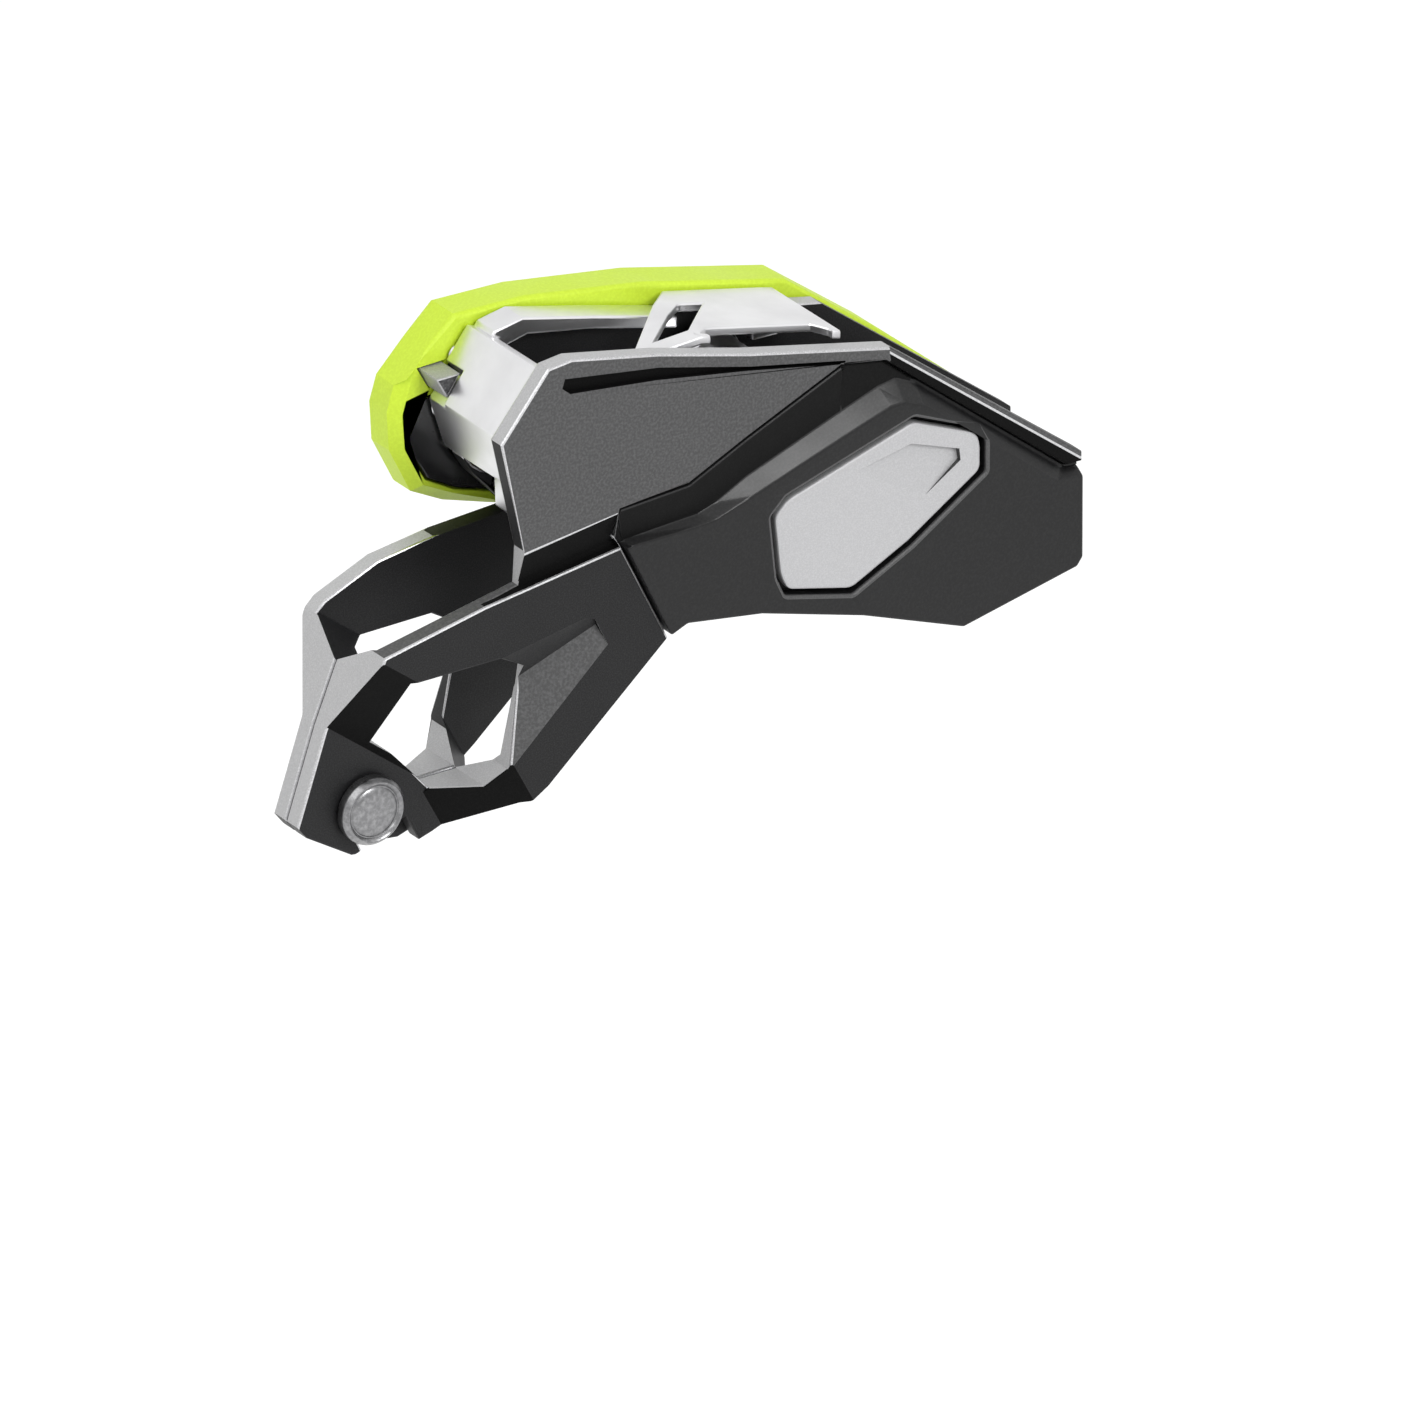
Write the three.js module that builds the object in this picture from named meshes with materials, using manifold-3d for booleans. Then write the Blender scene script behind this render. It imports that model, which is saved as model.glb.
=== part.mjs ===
// An assisted braking belay device. Two plates hold a rope channel between them, a swinging cam pinches
// the rope in it, a lever on the back frees the rope, and two arms meet round an attachment pin.
// X runs from the attachment pin to the end where the rope leaves, Y from the gate side to the handle
// side, and Z up along the loaded rope. The origin is on the pin's axis, in the middle of the device.
import * as THREE from 'three';
import { mergeVertices } from 'three/addons/utils/BufferGeometryUtils.js';
import Module from 'manifold-3d';

const wasm = await Module();
wasm.setup();

// Driving dimensions, in millimetres
const reach = 100; // attachment pin to the rope's exit, which the outlines' X shares follow
const rise = 50; // attachment pin to the plates' left corner, which the outlines' Z shares follow
const channelWidth = 14.4; // room for the rope between the plates
const plateThickness = 2.8;
const clearance = 0.3; // gap between neighbours
const overrun = 1; // how far a cut runs past what it cuts

// Arms and attachment pin
const tipThickness = 2.85; // each arm's tip, from the seam outwards
const shoulderLength = 4; // slope from an arm's inner face down to the seam
const webFloorSlope = 0.3; // fall of the web beside the eye, inwards from the arm's lower bar
const webWallSlope = 0.42; // fall of the web's upper wall, inwards from the arm's upper bar
const pinNeckRadius = 2.8;
const pinHeadRadius = 4.8;
const pinHeadHeight = 2.1;
const pinBevel = 0.5;
const pinFootRadius = 4.2;
const pinFootHeight = 1.5;
const slotSweep = 0.16; // angle, in radians, through which the pin's slot runs out of the front arm
const mouthFlare = 1.4; // how far the slot's mouth opens on each side

// Front cover and its inlay
const seatFloor = 1; // metal left under the cover
const valleyThickness = 0.6; // cover at the bottom of its valley
const bandRise = 0.8; // cover's edge band above the valley
const faceRise = 1.7; // cover's main face above the valley
const inlayDrop = 0.35; // inlay below the cover's main face
const inlayGap = 0.75;
const bandGrooveDepth = 1.2;
const rimGrooveDepth = 1;
const screwHeadRadius = 2.2;
const screwHeadHeight = 0.5;
const screwShankRadius = 1;

// Main axle, which carries the front gate
const axleRadius = 4;
const bushWall = 1;
const axleFlangeRadius = 6;
const axleFlangeThickness = 0.9;
const clipRadius = 5.6;
const clipThickness = 0.8;
const inlayFloor = 0.6; // inlay left over the axle's clip

// Cam
const camAxleRadius = 3;
const camGrooveDepth = 2.2;
const camLandWidth = 1.2; // flat rim of each cheek beside the groove
const camSpringWall = 0.7;
const camBossWall = 0.4; // metal left round the spring's pocket
const springPocketDepth = 2.6;

// Steel fittings in the channel
const railWidth = 4.6; // end wall's rail along the back plate's top edge
const anvilInset = 1.8; // room between the anvil's back face and the back plate
const guardThickness = 1.3;
const guardFlange = 1.5;
const guideRadius = 5.7;
const dowelRadius = 0.9;
const dowelWeb = 0.4; // metal left between the anvil's dowel and the handle's bushing

// Handle
const handleGap = 0.5; // running gap between the back plate and the handle
const handleDepth = 6.4;
const handleSkin = 1.6; // the grip's back wall
const hubRadius = 13.2;
const hubHeight = 3.6;
const shaftRadius = 4;
const handleSpringWall = 1.4;
const shaftFlangeRadius = 5.2;
const shaftFlangeThickness = 1.2;
const lugLength = 4.3; // how far the stop lug stands forward from the handle
const lugPlay = 0.4; // room round the lug in the end wall's groove
const lugSweep = 1.1; // angle, in radians, of that groove about the handle's shaft

// Sides of round pieces
const roundSides = 24;
const smallSides = 16;
const hubSides = 48;

// Levels along Y, measured outwards from the middle of the device
const channelHalf = channelWidth / 2;
const plateFace = channelHalf + plateThickness;
const seam = clearance / 2;
const tipFace = seam + tipThickness;
const seatLevel = channelHalf + seatFloor;
const coverBack = seatLevel + clearance;
const valleyLevel = coverBack + valleyThickness;
const bandLevel = valleyLevel + bandRise;
const coverFace = valleyLevel + faceRise;
const inlayFace = coverFace - inlayDrop;
const handleFront = plateFace + handleGap;
const handleBack = handleFront + handleDepth;
const hubBack = handleFront + hubHeight;

// Outlines and places, as shares of the reach along X and of the rise along Z
const plateShares = [
  [0.201, 0.688], [0.166, 1.006], [0.239, 1.190], [0.275, 1.200], [0.410, 1.152], [0.550, 1.086],
  [0.770, 1.000], [1.070, 0.558], [1.070, 0.260], [1.060, 0.232], [0.880, 0.142], [0.723, 0.250],
  [0.565, 0.332], [0.450, 0.360], [0.423, 0.336], [0.240, 0.440], [0.198, 0.584],
];
const upperLimbShares = [
  [0.260, 0.606], [0.198, 0.584], [-0.014, 0.484], [-0.063, 0.246], [-0.106, -0.010],
  [-0.091, -0.048], [-0.022, -0.130], [0.068, -0.146], [0.102, -0.122], [0.095, 0.012],
  [0.033, 0.144], [0.003, 0.190], [0.029, 0.388], [0.166, 0.396], [0.208, 0.348], [0.280, 0.400],
];
const lowerLimbShares = [
  [0.423, 0.336], [0.232, -0.012], [0.213, -0.038], [0.200, -0.042], [0.102, -0.122],
  [0.068, -0.146], [0.055, -0.060], [0.095, 0.012], [0.155, 0.016], [0.178, 0.070],
  [0.200, 0.280], [0.208, 0.348], [0.260, 0.480], [0.380, 0.480],
];
const backLimbShares = [
  [0.300, 0.600], [0.291, 0.638], [0.169, 0.616], [0.083, 0.588], [0.000, 0.512], [-0.014, 0.484],
];
const webShares = [
  [0.330, 0.360], [0.178, 0.070], [0.150, 0.200], [0.150, 0.392], [0.294, 0.452], [0.311, 0.440],
];
const webFloorIndex = 0; // point of that outline from which the web's floor falls
const webWallIndex = 3; // and its upper wall
const bandGrooveFaceShares = [
  [0.120, 0.658], [0.346, 0.736], [0.339, 0.660], [0.351, 0.628], [0.120, 0.550],
];
const bandGrooveFloorShares = [
  [0.120, 0.568], [0.345, 0.644], [0.344, 0.640], [0.351, 0.628], [0.120, 0.550],
];
const rimGrooveShares = [
  [0.264, 1.150], [0.410, 1.114], [0.550, 1.050], [0.700, 0.996], [0.696, 0.988],
  [0.545, 1.040], [0.405, 1.080], [0.272, 1.104], [0.260, 1.124],
];
const seatShares = [
  [0.348, 0.740], [0.456, 0.760], [0.544, 0.848], [0.693, 0.986], [0.763, 0.966], [1.046, 0.530],
  [1.120, 0.530], [1.120, 0.000], [0.500, 0.000], [0.424, 0.332], [0.352, 0.628], [0.341, 0.660],
];
const bandFootShares = [
  [0.340, 0.740], [0.456, 0.765], [0.544, 0.853], [0.693, 0.993],
  [0.697, 0.850], [0.551, 0.732], [0.473, 0.660], [0.360, 0.640],
];
const bandCrestShares = [
  [0.340, 0.740], [0.456, 0.765], [0.544, 0.853], [0.693, 0.993],
  [0.696, 0.976], [0.546, 0.838], [0.458, 0.750], [0.346, 0.730],
];
const faceFootShares = [
  [0.362, 0.640], [0.473, 0.658], [0.500, 0.676], [0.551, 0.732], [0.697, 0.848], [0.755, 0.892],
  [0.782, 0.902], [0.813, 0.874], [1.042, 0.520], [1.120, 0.512], [1.120, 0.000], [0.500, 0.000],
  [0.424, 0.332], [0.352, 0.628],
];
const faceCrestShares = [
  [0.365, 0.632], [0.464, 0.638], [0.492, 0.644], [0.550, 0.684], [0.702, 0.794], [0.766, 0.838],
  [0.788, 0.840], [0.816, 0.818], [1.030, 0.500], [1.120, 0.492], [1.120, 0.000], [0.500, 0.000],
  [0.424, 0.332], [0.352, 0.628],
];
const inlayShares = [
  [0.802, 0.774], [0.901, 0.696], [0.907, 0.664], [0.907, 0.588], [0.795, 0.436], [0.706, 0.342],
  [0.607, 0.386], [0.596, 0.434], [0.587, 0.604], [0.607, 0.644],
];
const endWallShares = [
  [0.258, 1.156], [0.238, 1.172], [0.176, 1.004], [0.202, 0.840], [0.234, 0.856], [0.214, 1.000],
];
const anvilShares = [
  [0.244, 1.040], [0.290, 1.060], [0.298, 1.000], [0.294, 0.840], [0.300, 0.680], [0.286, 0.640],
  [0.252, 0.680],
];
const wallSkinShares = [
  [0.202, 0.840], [0.176, 1.004], [0.238, 1.172], [0.258, 1.156], [0.248, 1.128], [0.196, 0.996],
  [0.216, 0.848],
];
const wallSeatShares = [
  [0.100, 0.580], [0.291, 0.638], [0.232, 0.762], [0.214, 0.820], [0.219, 0.841], [0.199, 0.994],
  [0.250, 1.118], [0.262, 1.148], [0.262, 1.300], [0.100, 1.300],
];
const railShares = [
  [0.238, 1.128], [0.253, 1.178], [0.296, 1.196], [0.410, 1.146], [0.536, 1.086], [0.536, 1.052],
  [0.410, 1.110], [0.304, 1.144], [0.262, 1.122],
];
const railSeatShares = [
  [0.240, 1.110], [0.262, 1.114], [0.304, 1.137], [0.409, 1.104], [0.539, 1.045], [0.539, 1.300],
  [0.240, 1.300],
];
const guardTopShares = [[0.380, 1.120], [0.495, 1.140], [0.540, 1.124], [0.690, 1.064], [0.712, 1.054]];
const guardTabShares = [[0.652, 1.074], [0.693, 1.056], [0.693, 0.960], [0.652, 0.960]];
const camShares = [
  [0.580, 1.034], [0.535, 1.016], [0.484, 0.950], [0.432, 0.850], [0.414, 0.720], [0.414, 0.600],
  [0.438, 0.500], [0.488, 0.430], [0.560, 0.404], [0.628, 0.416], [0.670, 0.474], [0.684, 0.566],
  [0.674, 0.680], [0.650, 0.800], [0.640, 0.900], [0.622, 0.990],
];
const handleShares = [
  [0.280, 0.626], [0.212, 0.666], [0.163, 0.714], [0.130, 0.846], [0.127, 0.956], [0.138, 1.028],
  [0.182, 1.120], [0.224, 1.200], [0.334, 1.200], [0.517, 1.154], [0.738, 1.058], [0.875, 0.860],
  [1.012, 0.640], [1.034, 0.580], [1.020, 0.510], [0.920, 0.480], [0.600, 0.540],
];
const handleHollowShares = [
  [0.284, 0.664], [0.222, 0.700], [0.178, 0.748], [0.148, 0.852], [0.144, 0.950], [0.149, 0.984],
  [0.196, 0.990], [0.222, 1.068], [0.268, 1.112], [0.334, 1.112], [0.510, 1.088], [0.720, 1.000],
  [0.850, 0.820], [0.984, 0.620], [1.000, 0.584], [0.990, 0.556], [0.914, 0.536], [0.600, 0.596],
];
const coreBeamShares = [
  [0.270, 0.800], [0.270, 1.060], [0.620, 0.960], [0.800, 0.740], [0.780, 0.660], [0.600, 0.680],
];
// The guard seen from above: shares of the reach along X, and of the channel's half width along Y
const guardPlanShares = [[0.380, -1], [0.540, 1.390], [0.712, 1.390], [0.712, -1]];
const guardWindowShares = [[0.438, -0.560], [0.492, -0.560], [0.572, 0.700], [0.534, 0.700]];
const guardSlotShares = [
  [0.510, -1.000], [0.510, -0.830], [0.498, -0.760], [0.520, -0.560], [0.682, -0.560],
  [0.698, -0.830], [0.698, -1.000],
];
const mainAxleShare = [0.730, 0.586];
const camAxleShare = [0.580, 0.900];
const handlePivotShare = [0.270, 0.870];
const guideShare = [1.010, 0.430];
const lugShares = [[0.169, 1.070], [0.204, 1.074], [0.184, 1.016]];
const upperBendShare = [0.007, 0.436];
const upperBendWay = [-0.6, -0.8]; // direction of the upper arm's step towards the seam
const lowerBendShare = [0.200, 0.022];
const upperBendLengthShare = 0.112;
const lowerBendLengthShare = 0.105;
const screwShares = [[0.520, 0.560], [0.940, 0.460], [0.830, 0.300]];
const endWallDowelShares = [[0.199, 0.956], [0.225, 1.090]];
const guardDowelShare = [0.673, 1.004];

// Materials, one for each finish
const finish = (color, roughness, metalness) => ({ color, roughness, metalness });
const anodised = finish(0x3a3a3a, 0.6, 0.6);
const moulded = finish(0x3c3c3c, 0.55, 0);
const softBlack = finish(0x161616, 0.4, 0);
const limePlastic = finish(0xd4f548, 0.45, 0);
const polished = finish(0xe4e4e4, 0.2, 1);
const satinInlay = finish(0xcacaca, 0.45, 0.6);
const bronze = finish(0xb08a50, 0.4, 1);
const springSteel = finish(0x9a9a9a, 0.3, 1);

// A place given as shares becomes a point of the X-Z plane, and an outline a list of them.
const place = ([x, z]) => new THREE.Vector2(x * reach, z * rise);
const outline = (shares) => shares.map(place);

const mainAxle = place(mainAxleShare);
const camAxle = place(camAxleShare);
const handlePivot = place(handlePivotShare);
const attachment = new THREE.Vector2(0, 0);

// Moves each side of an outline outwards by a distance, or inwards by a negative one.
function grown(points, distance) {
  const turn = THREE.ShapeUtils.isClockWise(points) ? -1 : 1;
  return points.map((point, index) => {
    const before = points[(index + points.length - 1) % points.length];
    const after = points[(index + 1) % points.length];
    const into = point.clone().sub(before).normalize();
    const out = after.clone().sub(point).normalize();
    const normalIn = new THREE.Vector2(into.y, -into.x).multiplyScalar(turn);
    const normalOut = new THREE.Vector2(out.y, -out.x).multiplyScalar(turn);
    const middle = normalIn.clone().add(normalOut).normalize();
    return point.clone().addScaledVector(middle, distance / middle.dot(normalIn));
  });
}

// Turns a closed three.js geometry into a solid that can be joined and cut.
function solid(geometry) {
  const bare = geometry.clone();
  bare.deleteAttribute('normal');
  bare.deleteAttribute('uv');
  const merged = mergeVertices(bare);
  const vertProperties = new Float32Array(merged.attributes.position.array);
  const triVerts = new Uint32Array(merged.index.array);
  return new wasm.Manifold(new wasm.Mesh({ numProp: 3, vertProperties, triVerts }));
}

// Extrudes an X-Z outline from one level of Y to another.
function slabGeometry(points, from, to) {
  const depth = Math.abs(to - from);
  const geometry = new THREE.ExtrudeGeometry(new THREE.Shape(points), { depth, bevelEnabled: false });
  geometry.rotateX(Math.PI / 2);
  geometry.translate(0, Math.max(from, to), 0);
  return geometry;
}

const slab = (points, from, to) => solid(slabGeometry(points, from, to));

// A slab whose outline changes, point for point, from a foot at one level to a crest at another.
function tapered(foot, crest, footLevel, crestLevel) {
  const geometry = slabGeometry(foot, footLevel, crestLevel);
  const position = geometry.attributes.position;
  for (let index = 0; index < position.count; index += 1) {
    const level = position.getY(index);
    const nearCrest = Math.abs(level - crestLevel) < Math.abs(level - footLevel);
    if (nearCrest) {
      const here = new THREE.Vector2(position.getX(index), position.getZ(index));
      const distances = foot.map((point) => point.distanceTo(here));
      const target = crest[distances.indexOf(Math.min(...distances))];
      position.setXYZ(index, target.x, level, target.y);
    }
  }
  return solid(geometry);
}

// A round bar along Y, with its centre at a point of the X-Z plane.
function bar(centre, radius, from, to, sides = roundSides) {
  const geometry = new THREE.CylinderGeometry(radius, radius, Math.abs(to - from), sides);
  geometry.translate(centre.x, (from + to) / 2, centre.y);
  return solid(geometry);
}

const ring = (centre, outer, inner, from, to) =>
  bar(centre, outer, from, to).subtract(bar(centre, inner, from - overrun, to + overrun));

// A piece turned about an axis along Y, from a profile of radius and level that starts and ends on it.
function turned(profile, sides = roundSides) {
  const points = profile.map(([radius, level]) => new THREE.Vector2(radius, level));
  return new THREE.LatheGeometry(points, sides);
}

// The outline of an arc-shaped slot about a centre, from one angle to another.
function arcOutline(centre, inner, outer, start, end) {
  const shape = new THREE.Shape();
  shape.absarc(centre.x, centre.y, outer, start, end, false);
  shape.absarc(centre.x, centre.y, inner, end, start, true);
  return shape.getPoints(smallSides);
}

// A block that keeps everything between two folded faces, which step inwards along a direction.
function bendBlock(side, start, direction, length, foldedThrough) {
  const along = new THREE.Vector3(direction.x, 0, direction.y);
  const across = new THREE.Vector3(0, 1, 0);
  const width = new THREE.Vector3().crossVectors(along, across);
  const far = reach + rise;
  const profile = [
    [-far, channelHalf], [-foldedThrough, channelHalf], [shoulderLength - foldedThrough, seam],
    [far, seam], [far, tipFace], [length, tipFace], [0, plateFace], [-far, plateFace],
  ].map(([distance, level]) => new THREE.Vector2(distance, side * level));
  const shape = new THREE.Shape(profile);
  const geometry = new THREE.ExtrudeGeometry(shape, { depth: far + far, bevelEnabled: false });
  geometry.translate(0, 0, -far);
  geometry.applyMatrix4(new THREE.Matrix4().makeBasis(along, across, width));
  geometry.translate(start.x, 0, start.y);
  return solid(geometry);
}

// One plate with its arm: side is -1 for the gate side and 1 for the handle side.
function plateWithArm(side) {
  const flat = slab(outline(plateShares), side * channelHalf, side * plateFace);
  const upperStart = place(upperBendShare);
  const upperWay = new THREE.Vector2(...upperBendWay);
  const upperFold = bendBlock(side, upperStart, upperWay, upperBendLengthShare * reach, shoulderLength / 4);
  const upper = slab(outline(upperLimbShares), 0, side * plateFace).intersect(upperFold);
  const lowerStart = place(lowerBendShare);
  const lowerWay = lowerStart.clone().sub(mainAxle).normalize();
  const lowerFold = bendBlock(side, lowerStart, lowerWay, lowerBendLengthShare * reach, 0);
  const lower = slab(outline(lowerLimbShares), 0, side * plateFace).intersect(lowerFold);
  const webPoints = outline(webShares);
  const webFloor = slopedCut(webPoints, webFloorIndex, side, webFloorSlope);
  const webWall = slopedCut(webPoints, webWallIndex, side, webWallSlope);
  return flat.add(upper).add(lower).subtract(webFloor.intersect(webWall));
}

// A cut whose floor slopes into the arm, from one edge of its outline, where it has no depth.
function slopedCut(points, edgeIndex, side, slope) {
  const start = points[edgeIndex];
  const edge = points[edgeIndex + 1].clone().sub(start).normalize();
  const geometry = slabGeometry(points, 0, side * (plateFace + overrun));
  const position = geometry.attributes.position;
  for (let index = 0; index < position.count; index += 1) {
    if (Math.abs(position.getY(index)) < plateFace) {
      const here = new THREE.Vector2(position.getX(index), position.getZ(index));
      const depth = slope * Math.abs(here.sub(start).cross(edge));
      position.setY(index, side * (plateFace - depth));
    }
  }
  return solid(geometry);
}

// The slot through which the pin's neck leaves the front arm, an arc about the main axle.
function pinSlot() {
  const radius = mainAxle.length();
  const halfWidth = pinNeckRadius + clearance;
  const mouthHalf = halfWidth + mouthFlare;
  const start = Math.atan2(-mainAxle.y, -mainAxle.x);
  const end = start + slotSweep;
  const mouthStart = start + (pinHeadRadius + clearance) / radius;
  const path = arcOutline(mainAxle, radius - halfWidth, radius + halfWidth, start, end);
  const mouth = arcOutline(mainAxle, radius - mouthHalf, radius + mouthHalf, mouthStart, end);
  const from = -tipFace - overrun;
  const neck = bar(attachment, halfWidth, from, overrun);
  return slab(path, from, overrun).add(slab(mouth, from, overrun)).add(neck);
}

// The groove in the end wall's left corner along which the stop lug swings with the handle.
function lugGroove() {
  const arms = outline(lugShares).map((point) => point.sub(handlePivot));
  const radii = arms.map((arm) => arm.length());
  const start = Math.min(...arms.map((arm) => arm.angle())) - lugPlay / Math.min(...radii);
  const inner = Math.min(...radii) - lugPlay;
  const outer = Math.max(...radii) + lugPlay;
  const points = arcOutline(handlePivot, inner, outer, start, start + lugSweep);
  return slab(points, handleFront - lugLength - lugPlay, plateFace + overrun);
}

const group = new THREE.Group();

// Adds a named piece to a parent, from a solid or from a turned geometry placed by its position.
function addPiece(parent, name, shape, look, centre = attachment) {
  let geometry = shape;
  if (!geometry.isBufferGeometry) {
    const mesh = shape.getMesh();
    geometry = new THREE.BufferGeometry();
    geometry.setAttribute('position', new THREE.BufferAttribute(mesh.vertProperties, 3));
    geometry.setIndex(new THREE.BufferAttribute(mesh.triVerts, 1));
    geometry.computeVertexNormals();
  }
  const material = new THREE.MeshStandardMaterial({ ...look, flatShading: true });
  const piece = new THREE.Mesh(geometry, material);
  piece.name = name;
  piece.position.set(centre.x, 0, centre.y);
  parent.add(piece);
}

const screwCentres = outline(screwShares);
const endWallDowels = outline(endWallDowelShares);
const bushingRoom = shaftRadius + bushWall + 2 * clearance;
const anvilDowelDrop = bushingRoom + dowelWeb + clearance + dowelRadius;
const anvilDowel = new THREE.Vector2(handlePivot.x, handlePivot.y - anvilDowelDrop);
const guardDowel = place(guardDowelShare);
const guideCentre = place(guideShare);

// The fixed frame: the back plate and everything fastened to it
function addFrame() {
  const frame = new THREE.Group();
  group.add(frame);

  const dowels = [...endWallDowels, anvilDowel, guardDowel, guideCentre];
  let plate = plateWithArm(1).subtract(slab(outline(wallSeatShares), 0, plateFace + overrun));
  plate = plate.subtract(slab(outline(railSeatShares), 0, plateFace + overrun));
  plate = plate.add(slab(outline(backLimbShares), channelHalf, plateFace));
  plate = plate.subtract(bar(attachment, pinNeckRadius + clearance, -overrun, tipFace + overrun));
  plate = plate.subtract(bar(mainAxle, axleRadius + clearance, 0, plateFace + overrun));
  plate = plate.subtract(bar(camAxle, camAxleRadius + clearance, 0, plateFace + overrun));
  plate = plate.subtract(bar(handlePivot, bushingRoom, 0, plateFace + overrun));
  for (const centre of dowels) {
    plate = plate.subtract(bar(centre, dowelRadius + clearance, 0, plateFace + overrun, smallSides));
  }
  addPiece(frame, 'back_plate', plate, anodised);

  const headTop = -tipFace - clearance - pinHeadHeight;
  addPiece(frame, 'attachment_pin', turned([
    [0, headTop], [pinHeadRadius - pinBevel, headTop], [pinHeadRadius, headTop + pinBevel],
    [pinHeadRadius, -tipFace - clearance], [pinNeckRadius, -tipFace - clearance],
    [pinNeckRadius, tipFace + clearance], [pinFootRadius, tipFace + clearance],
    [pinFootRadius, tipFace + clearance + pinFootHeight - pinBevel],
    [pinFootRadius - pinBevel, tipFace + clearance + pinFootHeight],
    [0, tipFace + clearance + pinFootHeight],
  ]), polished);

  // The axle's flange bears on the channel side of the back plate, and its clip lies under the inlay.
  const flangeTop = channelHalf - clearance;
  const clipFoot = -seatLevel - clearance;
  const clipTop = clipFoot - clipThickness;
  addPiece(frame, 'main_axle', turned([
    [0, clipTop - clearance], [axleRadius - pinBevel, clipTop - clearance],
    [axleRadius, clipTop], [axleRadius, flangeTop - axleFlangeThickness],
    [axleFlangeRadius, flangeTop - axleFlangeThickness], [axleFlangeRadius, flangeTop],
    [axleRadius, flangeTop], [axleRadius, plateFace], [0, plateFace],
  ]), polished, mainAxle);
  addPiece(frame, 'axle_clip', ring(mainAxle, clipRadius, axleRadius + clearance / 3, clipTop, clipFoot),
    springSteel);
  addPiece(frame, 'cam_axle', turned([
    [0, -channelHalf + clearance], [camAxleRadius, -channelHalf + clearance],
    [camAxleRadius, plateFace], [0, plateFace],
  ]), polished, camAxle);
  addPiece(frame, 'handle_bushing', ring(handlePivot, shaftRadius + bushWall + clearance,
    shaftRadius + clearance, channelHalf, plateFace), bronze);

  // The end wall closes the channel's left corner, wraps round the back plate's edge, and carries a rail.
  const wallFront = -channelHalf + clearance;
  const wallBack = channelHalf - clearance;
  let wall = slab(outline(endWallShares), wallFront, wallBack);
  wall = wall.add(slab(outline(wallSkinShares), 0, plateFace));
  wall = wall.add(slab(outline(railShares), plateFace - railWidth, plateFace));
  for (const centre of endWallDowels) {
    wall = wall.subtract(bar(centre, dowelRadius + clearance, 0, plateFace + overrun, smallSides));
  }
  const flangeRoom = shaftFlangeRadius + clearance;
  wall = wall.subtract(bar(handlePivot, flangeRoom, channelHalf - anvilInset, channelHalf));
  wall = wall.subtract(bar(handlePivot, bushingRoom, channelHalf, plateFace + overrun));
  addPiece(frame, 'end_wall', wall.subtract(lugGroove()), polished);

  let anvil = slab(outline(anvilShares), wallFront, channelHalf - anvilInset);
  anvil = anvil.subtract(bar(anvilDowel, dowelRadius + clearance, 0, channelHalf, smallSides));
  addPiece(frame, 'rope_anvil', anvil, polished);

  // The guard is a bent sheet that bridges the channel above the cam, held by a tab on the back plate.
  const guardTop = outline(guardTopShares);
  const guardUnder = guardTop.map((point) => new THREE.Vector2(point.x, point.y - guardThickness));
  const guardPlan = (shares) => {
    const points = shares.map(([x, y]) => new THREE.Vector2(x * reach, y * channelHalf));
    const shape = new THREE.Shape(points);
    const geometry = new THREE.ExtrudeGeometry(shape, { depth: rise, bevelEnabled: false });
    return solid(geometry.translate(0, 0, rise - 2 * guardThickness));
  };
  let guard = slab([...guardTop, ...guardUnder.reverse()], wallFront, plateFace);
  guard = guard.intersect(guardPlan(guardPlanShares));
  guard = guard.subtract(guardPlan(guardWindowShares)).subtract(guardPlan(guardSlotShares));
  guard = guard.add(slab(outline(guardTabShares), wallBack - guardFlange, wallBack));
  guard = guard.subtract(bar(guardDowel, dowelRadius + clearance, 0, wallBack + overrun, smallSides));
  addPiece(frame, 'top_guard', guard, polished);

  let guide = bar(guideCentre, guideRadius, wallFront, wallBack);
  guide = guide.subtract(bar(guideCentre, dowelRadius + clearance, 0, wallBack + overrun, smallSides));
  addPiece(frame, 'exit_guide', guide, polished);

  // Dowels hold the fittings to the back plate and end flush with it.
  const dowelNames = ['end_wall_dowel_low', 'end_wall_dowel_high', 'anvil_dowel', 'guard_dowel',
    'guide_dowel'];
  const dowelFronts = [0, 0, 0, wallBack - guardFlange, 0];
  dowels.forEach((centre, index) => {
    const front = dowelFronts[index] + clearance;
    addPiece(frame, dowelNames[index], turned([
      [0, front], [dowelRadius, front], [dowelRadius, plateFace], [0, plateFace],
    ], smallSides), springSteel, centre);
  });
}

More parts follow.
